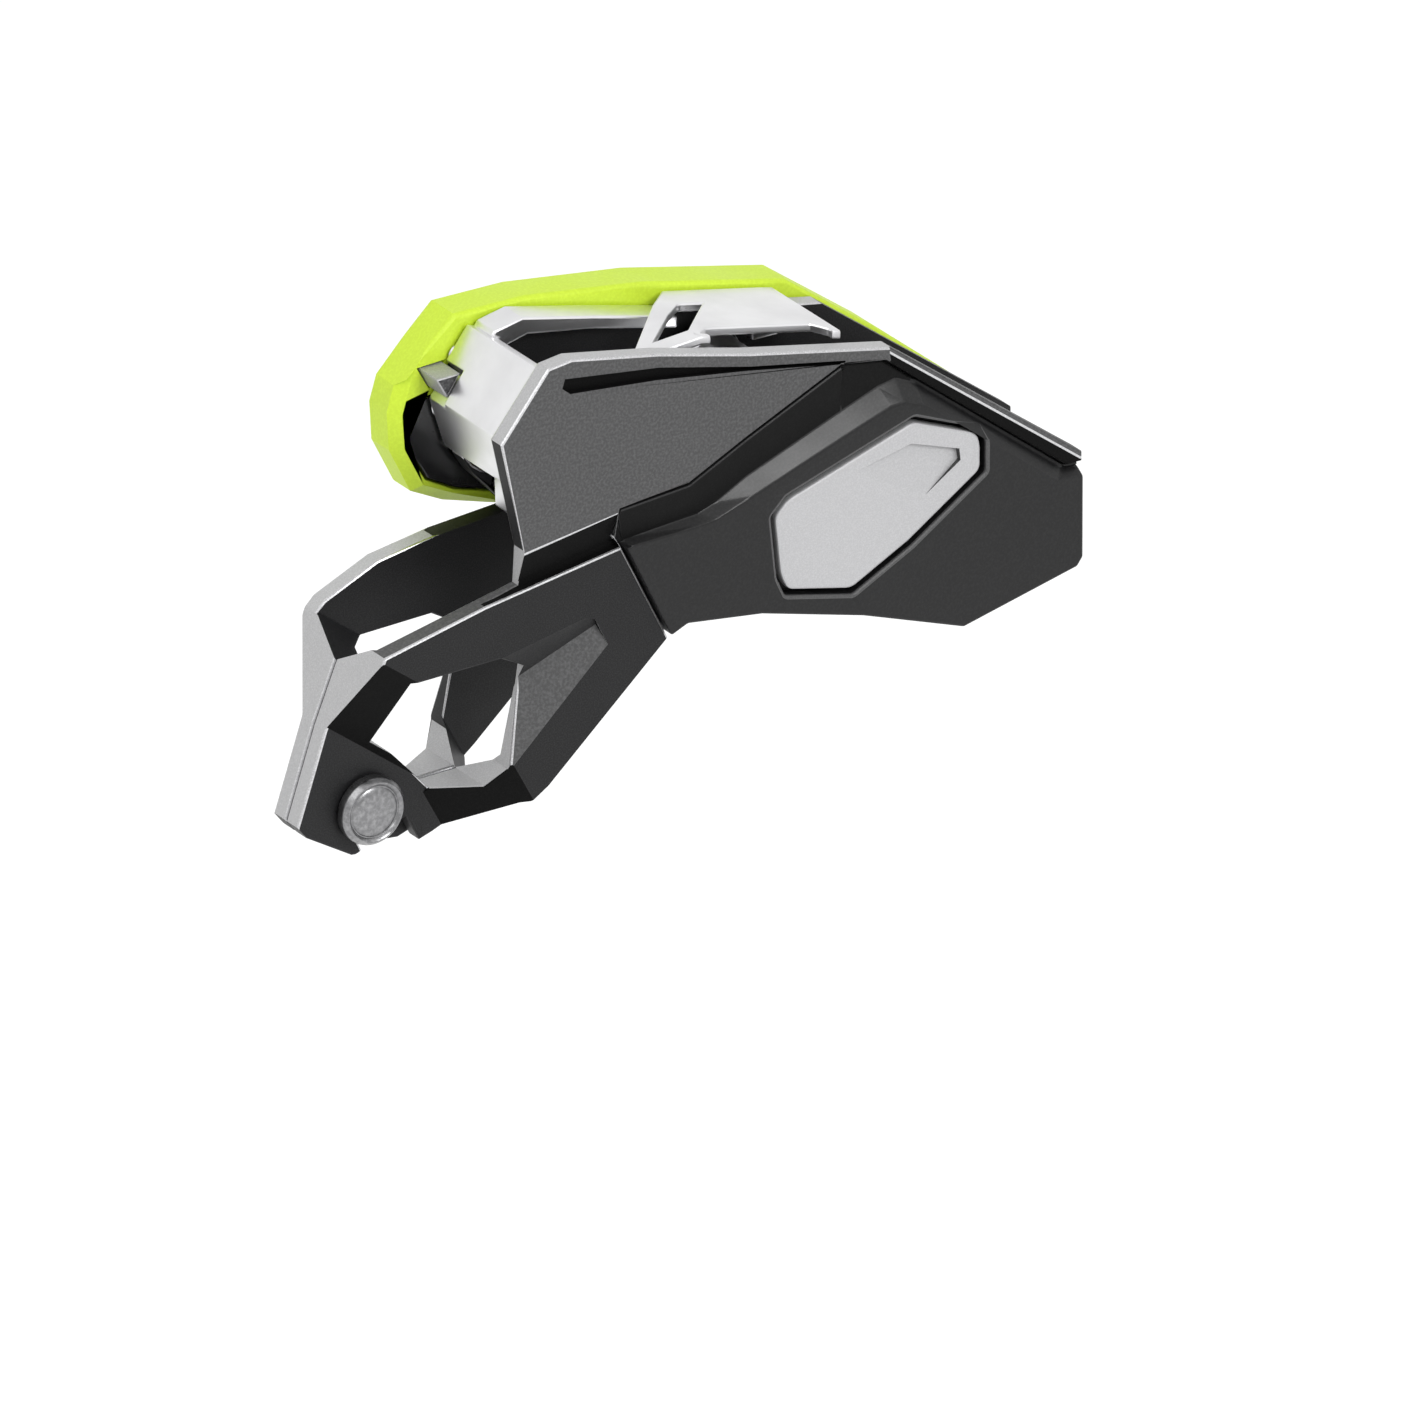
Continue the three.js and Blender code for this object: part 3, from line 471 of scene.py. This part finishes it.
def plate_edges(edges, width):
    """Bright chamfers, a painted highlight, on the upper and left rims and along the groove, where light
    catches them, dark ones elsewhere, and a fine bright line along the panel's folds, also a painted
    highlight."""
    bright, dark, folds = [], [], []
    for edge in edges:
        flat, side = sorted(edge.link_faces, key=lambda f: -abs(f.normal.y))
        skins = {flat.material_index, side.material_index}
        on_panel = BLASTED in skins and min(v.co.z for v in edge.verts) > PANEL_BOTTOM
        if side.normal.y < -FACING and on_panel and len(skins) == 2:
            folds.append(edge)
        depth = span_of(side)
        if abs(side.normal.y) > WALL_TILT or abs(flat.normal.y) < SLANTED or depth < THIN_WALL:
            continue
        shallow = depth < GROOVE_DEPTH
        on_face = min(abs(v.co.y) for v in edge.verts) > FACE_LEVEL
        if shallow and (not on_face or middle_of(edge).z > GROOVE_TOP):
            continue
        # The bright skin, a painted highlight, goes on the chamfers that catch the light: shallow steps,
        # pale or blasted rims and edges facing left, left of the rim's bend and off the shaded grooves.
        lit = shallow or side.material_index in (BLASTED, LIT_RIM) or side.normal.x < -STRAIGHT
        lit = lit and flat.material_index != PAINTED_SHADE and middle_of(edge).x < RIM_BEND
        (bright if lit else dark).append(edge)
    return [(FOLD_WIDTH, FLAT_BEVEL, BRIGHT, folds), (width, BEVEL_STEPS, BRIGHT, bright),
            (width, BEVEL_STEPS, OWN_SKIN, dark)]


finished("back_plate", "anodised_plate", "frame", PLATE_CHAMFER, *plate_skins, zone=plate_zone,
         pick=plate_edges)
finished("front_plate", "anodised_plate", "front_gate", PLATE_CHAMFER, *plate_skins, corner=PLATE_CORNER,
         zone=plate_zone, pick=plate_edges, carve=rim_strip)

# The front cover: a semi-matte black plastic moulding that fills the seat in the front plate and is held by
# three screws from behind. A band falls from the panel's edge into a valley, and both are given a duller
# black as painted shade; from the valley a slope rises to the face, given a paler, glossier skin as a
# painted sheen. The face has soft edges and a window for the inlay, whose edge is painted paler as a
# highlight.
COVER_EDGE = 0.0003
COVER_GRAIN = 3000
COVER_CORNER = 12
SHORT_EDGE = 2
UPPER_PART = 0.03
FACE_FOLD = 0.93
BAND_TILT = (0.97, 0.995)
BAND_END = 0.072
VALLEY_TILT = 0.99
VALLEY_END = 0.0805
VALLEY_LEVEL = 0.0092
SLOPE_TILT = (0.15, 0.9)
SLOPE_RISE = 0.3
SLOPE_END = 0.082
WINDOW = ((0.0572, 0.0925), (0.0155, 0.0405))
WINDOW_EDGE = 0.0005
WINDOW_STEPS = 3
CORNER_WIDTH = 0.0008
CORNER_HEIGHT = 0.0015
CORNER_STEPS = 4
UPRIGHT_TILT = 0.1

cover_skin = grained("moulded_cover", (0.006, 0.006, 0.0064), (0.011, 0.011, 0.0115), rough=(0.32, 0.4),
                     shine=0.32, bump=0.3, depth=0.00005, scale=COVER_GRAIN)
# Paler and glossier: a painted sheen on the slope that faces the light.
lit_slope_skin = grained("cover_slope_painted_sheen", (0.015, 0.015, 0.0153), (0.023, 0.023, 0.0234), rough=(0.28, 0.34),
                     shine=0.3, bump=0.2, depth=0.00004, scale=COVER_GRAIN)
# A duller black with little sheen: painted shade on the band and the valley's floor, which face away from
# the light.
band_shade_skin = grained("cover_band_painted_shade", (0.006, 0.006, 0.006), (0.01, 0.01, 0.01), rough=(0.45, 0.55),
                    shine=0.08, bump=0.2, depth=0.00003)
# Ten times paler than the face: a painted highlight on the window's edge.
window_highlight_skin = grained("window_edge_highlight", (0.06, 0.06, 0.061), (0.09, 0.09, 0.091), rough=(0.3, 0.4),
                      shine=0.5, bump=0.2, depth=0.00003)
cover_skins = (cover_skin, band_shade_skin, window_highlight_skin, lit_slope_skin)
FACE, SHADED_BAND, LIT_WINDOW_RIM, LIT_SLOPE = range(len(cover_skins))


def round_corners(bm):
    """Rounds the upright corners of the window, or of the inlay that fills it."""
    upright = []
    for edge in bm.edges:
        along = abs(edge.verts[0].co.y - edge.verts[1].co.y) > STRAIGHT * edge.calc_length()
        if not (along and edge.is_manifold and inside(middle_of(edge), WINDOW)):
            continue
        tall = edge.calc_length() > CORNER_HEIGHT and edge.calc_face_angle(0) > radians(COVER_CORNER)
        if tall and all(abs(f.normal.y) < UPRIGHT_TILT for f in edge.link_faces):
            upright.append(edge)
    bmesh.ops.bevel(bm, geom=upright, offset=CORNER_WIDTH, offset_type="OFFSET", segments=CORNER_STEPS,
                    profile=0.5, affect="EDGES", clamp_overlap=True, material=OWN_SKIN)


def shaded_valley(bm):
    """Gives the valley's floor the band's painted shade, up to where it narrows under the right rim."""
    round_corners(bm)
    cut_along(bm, (VALLEY_END, 0, 0), (1, 0, 0))
    for face in bm.faces:
        middle = face.calc_center_median()
        low = face.normal.y < -VALLEY_TILT and middle.y > -VALLEY_LEVEL
        if low and middle.x < VALLEY_END and middle.z > UPPER_PART:
            face.material_index = SHADED_BAND


def cover_zone(face):
    """The band that falls from the panel's edge is painted a duller black as shade, and the slope up to the
    face paler and glossier as a painted sheen.
    """
    middle, normal = face.calc_center_median(), face.normal
    if middle.z > UPPER_PART and BAND_TILT[0] < -normal.y < BAND_TILT[1] and middle.x < BAND_END:
        return SHADED_BAND
    slope = SLOPE_TILT[0] < -normal.y < SLOPE_TILT[1] and normal.z > SLOPE_RISE
    return LIT_SLOPE if slope and middle.x < SLOPE_END and middle.z > UPPER_PART else FACE


def cover_edges(edges, width):
    """The inlay's window gets a wider edge than the rest, paler as a painted highlight. Folds in the face
    and the smallest edges get none."""
    window, rest = [], []
    for edge in edges:
        if all(f.normal.y < -FACE_FOLD for f in edge.link_faces):
            continue
        walls = [f for f in edge.link_faces if abs(f.normal.y) < WALL_TILT]
        if inside(middle_of(edge), WINDOW) and len(walls) == 1 and middle_of(edge).y < -VALLEY_LEVEL:
            window.append(edge)
        elif edge.calc_length() > SHORT_EDGE * width:
            rest.append(edge)
    return [(WINDOW_EDGE, WINDOW_STEPS, LIT_WINDOW_RIM, window), (width, BEVEL_STEPS, OWN_SKIN, rest)]


finished("front_cover", "moulded_black", "front_gate", COVER_EDGE, *cover_skins, corner=COVER_CORNER,
         zone=cover_zone, pick=cover_edges, carve=shaded_valley)

# The inlay: a light satin plate of metal, let into the cover's window and glued there. It has a fine bevel
# round its edge, and a pressed recess in the shape of an arrowhead, which is deepest at its tip. The
# recess's walls are painted dark, as shade.
INLAY_EDGE = 0.0003
INLAY_RIM_HEIGHT = 0.0012
ARROW_DEPTH = 0.0009
ARROW = [Vector((x, 0, z)) for x, z in (
    (0.0712, 0.0337), (0.0799, 0.0357), (0.0874, 0.0332), (0.0876, 0.0315), (0.0821, 0.0278))]

inlay_skin = grained("satin_inlay", (0.48, 0.48, 0.49), (0.56, 0.56, 0.57), rough=(0.35, 0.45),
                     shine=0.5, bump=0.1, depth=0.00002, metallic=0.3)
# Dark: painted shade on the recess's walls.
arrow_shade_skin = grained("arrow_wall_painted_shade", (0.03, 0.03, 0.03), (0.06, 0.06, 0.06), rough=(0.4, 0.5),
                     shine=0.3, bump=0.1, depth=0.00002)
inlay_skins = (inlay_skin, arrow_shade_skin)
SATIN, ARROW_SHADE = range(len(inlay_skins))


def arrow_recess(bm):
    """Sinks the arrowhead into the front face, with a floor that slopes down to its tip."""
    round_corners(bm)
    for start, end in zip(ARROW, ARROW[1:] + ARROW[:1]):
        cut_along(bm, start, (end - start).cross(Vector((0, 1, 0))))
    middle = sum(ARROW, Vector()) / len(ARROW)
    fronts = [f for f in bm.faces if f.normal.y < -STRAIGHT]
    arrow = min(fronts, key=lambda f: (f.calc_center_median() - middle).xz.length)
    foot = (ARROW[-1] - ARROW[0]).normalized()
    reach = max(abs(foot.cross(p - ARROW[0]).y) for p in ARROW)
    sunk = bmesh.ops.extrude_face_region(bm, geom=[arrow])["geom"]
    if arrow.is_valid:
        bmesh.ops.delete(bm, geom=[arrow], context="FACES_ONLY")
    for vert in sunk:
        if isinstance(vert, bmesh.types.BMVert):
            vert.co.y += ARROW_DEPTH * abs(foot.cross(vert.co - ARROW[0]).y) / reach
    bmesh.ops.remove_doubles(bm, verts=bm.verts, dist=SAME_PLACE)


def inlay_zone(face):
    """The recess's own walls are painted darker, as shade."""
    return ARROW_SHADE if abs(face.normal.y) < SLANTED and span_of(face) < INLAY_RIM_HEIGHT else SATIN


def inlay_edges(edges, width):
    """Only the outer rim is bevelled."""
    rim = [e for e in edges if all(inlay_zone(f) == SATIN for f in e.link_faces)]
    return [(width, BEVEL_STEPS, SATIN, rim)]


finished("front_inlay", "satin_inlay", "front_gate", INLAY_EDGE, *inlay_skins, zone=inlay_zone,
         pick=inlay_edges, carve=arrow_recess)

# The fixed steel fittings: the end wall and the anvil are cast, the guard is bent from sheet, and the exit
# guide and the two axles are turned. All are stainless steel, ground and polished, and sit between the
# plates on dowels or in bores of the back plate.
STEEL_EDGE = 0.0003
MARK_SCALE = 900
MARK_STRETCH = (0.12, 1, 1)
MARK_DEPTH = 0.00002
CLOUD_SCALE = 110
CLOUD_TONES = (0.35, 0.7)

marks, marks_in, marks_out = group_tree("polishing_marks", ("Bright", "Dull"), ("Low", "High"))
lines = noise(marks, MARK_SCALE, FINE_DETAIL, MARK_STRETCH)
clouds = noise(marks, CLOUD_SCALE, PATCH_DETAIL)
cloud_mask = spread(marks, clouds, CLOUD_TONES, 0, 1)
marks.links.new(blended(marks, cloud_mask, marks_in.outputs["Bright"], marks_in.outputs["Dull"]),
                marks_out.inputs["Color"])
marks.links.new(spread(marks, clouds, PATCHES, marks_in.outputs["Low"], marks_in.outputs["High"]),
                marks_out.inputs["Roughness"])
marks.links.new(lines, marks_out.inputs["Height"])


def polished(name, bright, dull, rough, bump, metallic=1):
    """A material with fine polishing lines and faintly duller clouds."""
    values = {"Bright": (*bright, 1), "Dull": (*dull, 1), "Low": rough[0], "High": rough[1]}
    return surface(name, marks, values, metallic, bump, MARK_DEPTH)


steel = polished("polished_steel", (0.82, 0.82, 0.83), (0.72, 0.72, 0.73), rough=(0.28, 0.36), bump=0.06)
for name in ("end_wall", "rope_anvil", "top_guard", "exit_guide", "main_axle", "cam_axle"):
    finished(name, "polished_steel", "frame", STEEL_EDGE, steel)

# The attachment pin: turned from steel bar, with a ring groove round its domed head, and then tumbled, which
# leaves the head slightly uneven. It is riveted into the back arm, and the front arm's slot hooks round it.
# The profile gives radius and level in millimetres, from the front dome to the foot.
PIN_PROFILE = (
    (0, -5.36), (1.6, -5.34), (2.6, -5.28), (3.3, -5.16), (3.5, -4.98), (3.65, -4.98), (3.85, -5.24),
    (4.05, -5.38), (4.25, -5.36), (4.7, -4.85), (4.78, -4.6), (4.78, -3.5), (4.6, -3.32), (2.8, -3.32),
    (2.8, 3.32), (4.0, 3.32), (4.18, 3.5), (4.18, 4.3), (3.75, 4.76), (3.2, 4.78), (0, 4.78))
PER_METRE = 1000
PIN_STEPS = 72
PIN_CREASE = 35
PIN_GRAIN = 1500

tumbled = grained("tumbled_steel", (0.21, 0.21, 0.215), (0.32, 0.32, 0.325), rough=(0.22, 0.42),
                  shine=0.5, bump=0.25, depth=0.00007, metallic=1, scale=PIN_GRAIN)
pin_mesh = bpy.data.meshes.new("attachment_pin_finished")
bm = bmesh.new()
corners = [bm.verts.new((radius / PER_METRE, level / PER_METRE, 0)) for radius, level in PIN_PROFILE]
outline = [bm.edges.new(pair) for pair in zip(corners, corners[1:])]
bmesh.ops.spin(bm, geom=corners + outline, cent=(0, 0, 0), axis=(0, 1, 0), angle=radians(360),
               steps=PIN_STEPS, use_merge=True)
bmesh.ops.remove_doubles(bm, verts=bm.verts, dist=SAME_PLACE)
bmesh.ops.recalc_face_normals(bm, faces=bm.faces)
for face in bm.faces:
    face.smooth = True
bm.to_mesh(pin_mesh)
bm.free()
pin_mesh.set_sharp_from_angle(angle=radians(PIN_CREASE))
pin_mesh.materials.append(tumbled)
pin = bpy.data.objects.new("attachment_pin_finished", pin_mesh)
scene.collection.objects.link(pin)
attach(pin, "frame")
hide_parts("attachment_pin")

# The cam: a block of the same polished steel, which swings on its axle and pinches the rope against the
# anvil. It is cast, and the rounded groove in which the rope runs is ground.
finished("cam", "polished_steel", "swing_cam", STEEL_EDGE, steel)

# The handle: a grip moulded in bright yellow-green plastic, with wide soft rims and broad facets at its
# lower left. It is snapped over a glossy black core, whose hub and beam carry it.
GRIP_EDGE = 0.0008
GRIP_STEPS = 4
INNER_EDGE = 0.00025
GRIP_GRAIN = 2600
GRIP_MIDDLE = Vector((0.055, 0.014, 0.042))
LUG_CENTRE = Vector((0.0186, 0.0105, 0.0527))
LUG_REACH = 0.0032
FACET_WIDTH = 0.0015
FACET_DEPTH = 0.011
FACET_END = Vector((0.03, 0, 0.0512))

lime = grained("lime_plastic", (0.58, 0.78, 0.035), (0.63, 0.84, 0.045), rough=(0.42, 0.52),
               shine=0.5, bump=0.2, depth=0.00005, scale=GRIP_GRAIN)


def grip_edges(edges, width):
    """The grip's outer rims are well rounded, its inner ones barely, and the lug's seat stays sharp."""
    facet, outer, inner = [], [], []
    for edge in edges:
        centre = middle_of(edge)
        flat, side = sorted(edge.link_faces, key=lambda f: -abs(f.normal.y))
        if (centre - LUG_CENTRE).length < LUG_REACH or abs(flat.normal.y) < STRAIGHT:
            continue
        out = centre - GRIP_MIDDLE
        out.y = 0
        low_left = centre.y < FACET_DEPTH and centre.x < FACET_END.x and centre.z < FACET_END.z
        rim = facet if low_left else outer
        (rim if side.normal.dot(out) > 0 else inner).append(edge)
    return [(FACET_WIDTH, FLAT_BEVEL, OWN_SKIN, facet), (width, GRIP_STEPS, OWN_SKIN, outer),
            (INNER_EDGE, BEVEL_STEPS, OWN_SKIN, inner)]


finished("handle_grip", "lime_plastic", "handle", GRIP_EDGE, lime, pick=grip_edges)
gloss = polished("gloss_black", (0.012, 0.012, 0.013), (0.02, 0.02, 0.02), rough=(0.15, 0.3), bump=0.05,
                 metallic=0)
finished("handle_core", "gloss_black", "handle", STEEL_EDGE, gloss)

# The stop lug and the handle's shaft. The lug is a three-sided steel bar, pressed into its seat in the grip,
# and travels in the end wall's groove. Its sides are ground, and its front end is painted darker, as a
# painted reflection of the dark parts round it.
# The shaft is turned, pressed into the hub, and runs through the back plate.
LUG_EDGE = 0.00028
LUG_FIT = 0.0003
LUG_GRAIN = 2600

lug_side = grained("ground_lug", (0.36, 0.36, 0.365), (0.46, 0.46, 0.465), rough=(0.4, 0.5),
                   shine=0.5, bump=0.2, depth=0.00003, metallic=0.4)
# Dark steel: a painted reflection of dark surroundings on the lug's front end.
lug_dark_end = grained("lug_end_painted_reflection", (0.05, 0.05, 0.052), (0.12, 0.12, 0.122), rough=(0.3, 0.45),
                  shine=0.4, bump=0.3, depth=0.00005, metallic=0.6, scale=LUG_GRAIN)
lug_skins = (lug_side, lug_dark_end)
GROUND, DARK_END = range(len(lug_skins))


def lug_fit(bm):
    """The lug fills its seat in the grip nearly to the edge."""
    middle = sum((v.co for v in bm.verts), Vector()) / len(bm.verts)
    for vert in bm.verts:
        out = vert.co - middle
        out.y = 0
        vert.co += out.normalized() * LUG_FIT


def lug_zone(face):
    """Only the front end gets the darker skin, a painted dark reflection."""
    return DARK_END if face.normal.y < -STRAIGHT else GROUND


def lug_edges(edges, width):
    """Every edge is ground with the sides."""
    return [(width, BEVEL_STEPS, GROUND, edges)]


finished("stop_lug", "polished_steel", "handle", LUG_EDGE, *lug_skins, zone=lug_zone, pick=lug_edges,
         carve=lug_fit)
finished("handle_shaft", "polished_steel", "handle", STEEL_EDGE, steel)

# The small turned parts: bearing rings of bronze, pressed into their bores, and springs, dowels, screws and
# the axle's clip of spring steel. Most of them are hidden, and they keep their plain shapes. The pieces
# above hide the other nodes, so all nodes are given a skin here.
spring_steel = polished("spring_steel", (0.4, 0.4, 0.41), (0.3, 0.3, 0.31), rough=(0.25, 0.4), bump=0.1)
bronze = polished("bearing_bronze", (0.55, 0.35, 0.15), (0.45, 0.28, 0.12), rough=(0.3, 0.45), bump=0.1)
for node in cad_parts.values():
    node.data.materials.clear()
    node.data.materials.append(bronze if "bushing" in node.name else spring_steel)
